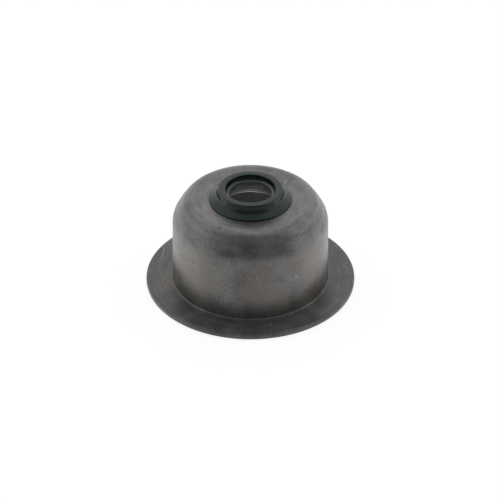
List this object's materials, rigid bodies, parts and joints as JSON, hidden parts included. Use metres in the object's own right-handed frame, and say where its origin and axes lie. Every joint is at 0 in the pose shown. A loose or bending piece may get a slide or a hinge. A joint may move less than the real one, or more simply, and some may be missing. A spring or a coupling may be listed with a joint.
{
  "type": "valve stem seal",
  "caption": "Valve stem seal with a built-in spring seat: a drawn steel hat with a flat flange and a bonded rubber lip seal on its roof.",
  "frame": {"origin": "centre of the flange's underside, the face that rests on the cylinder head", "axes": "+Z along the valve stem's axis, from the flange up to the rubber rim; the part is round about Z"},
  "size_m": [0.03, 0.03, 0.0156],
  "materials": {
    "pressed_steel": "semi-gloss drawn sheet",
    "seal_rubber": "smooth moulded, slightly glossy"
  },
  "bodies": {
    "root": {"steel_shell": "pressed_steel", "rubber_seal": "seal_rubber"}
  },
  "joints": []
}
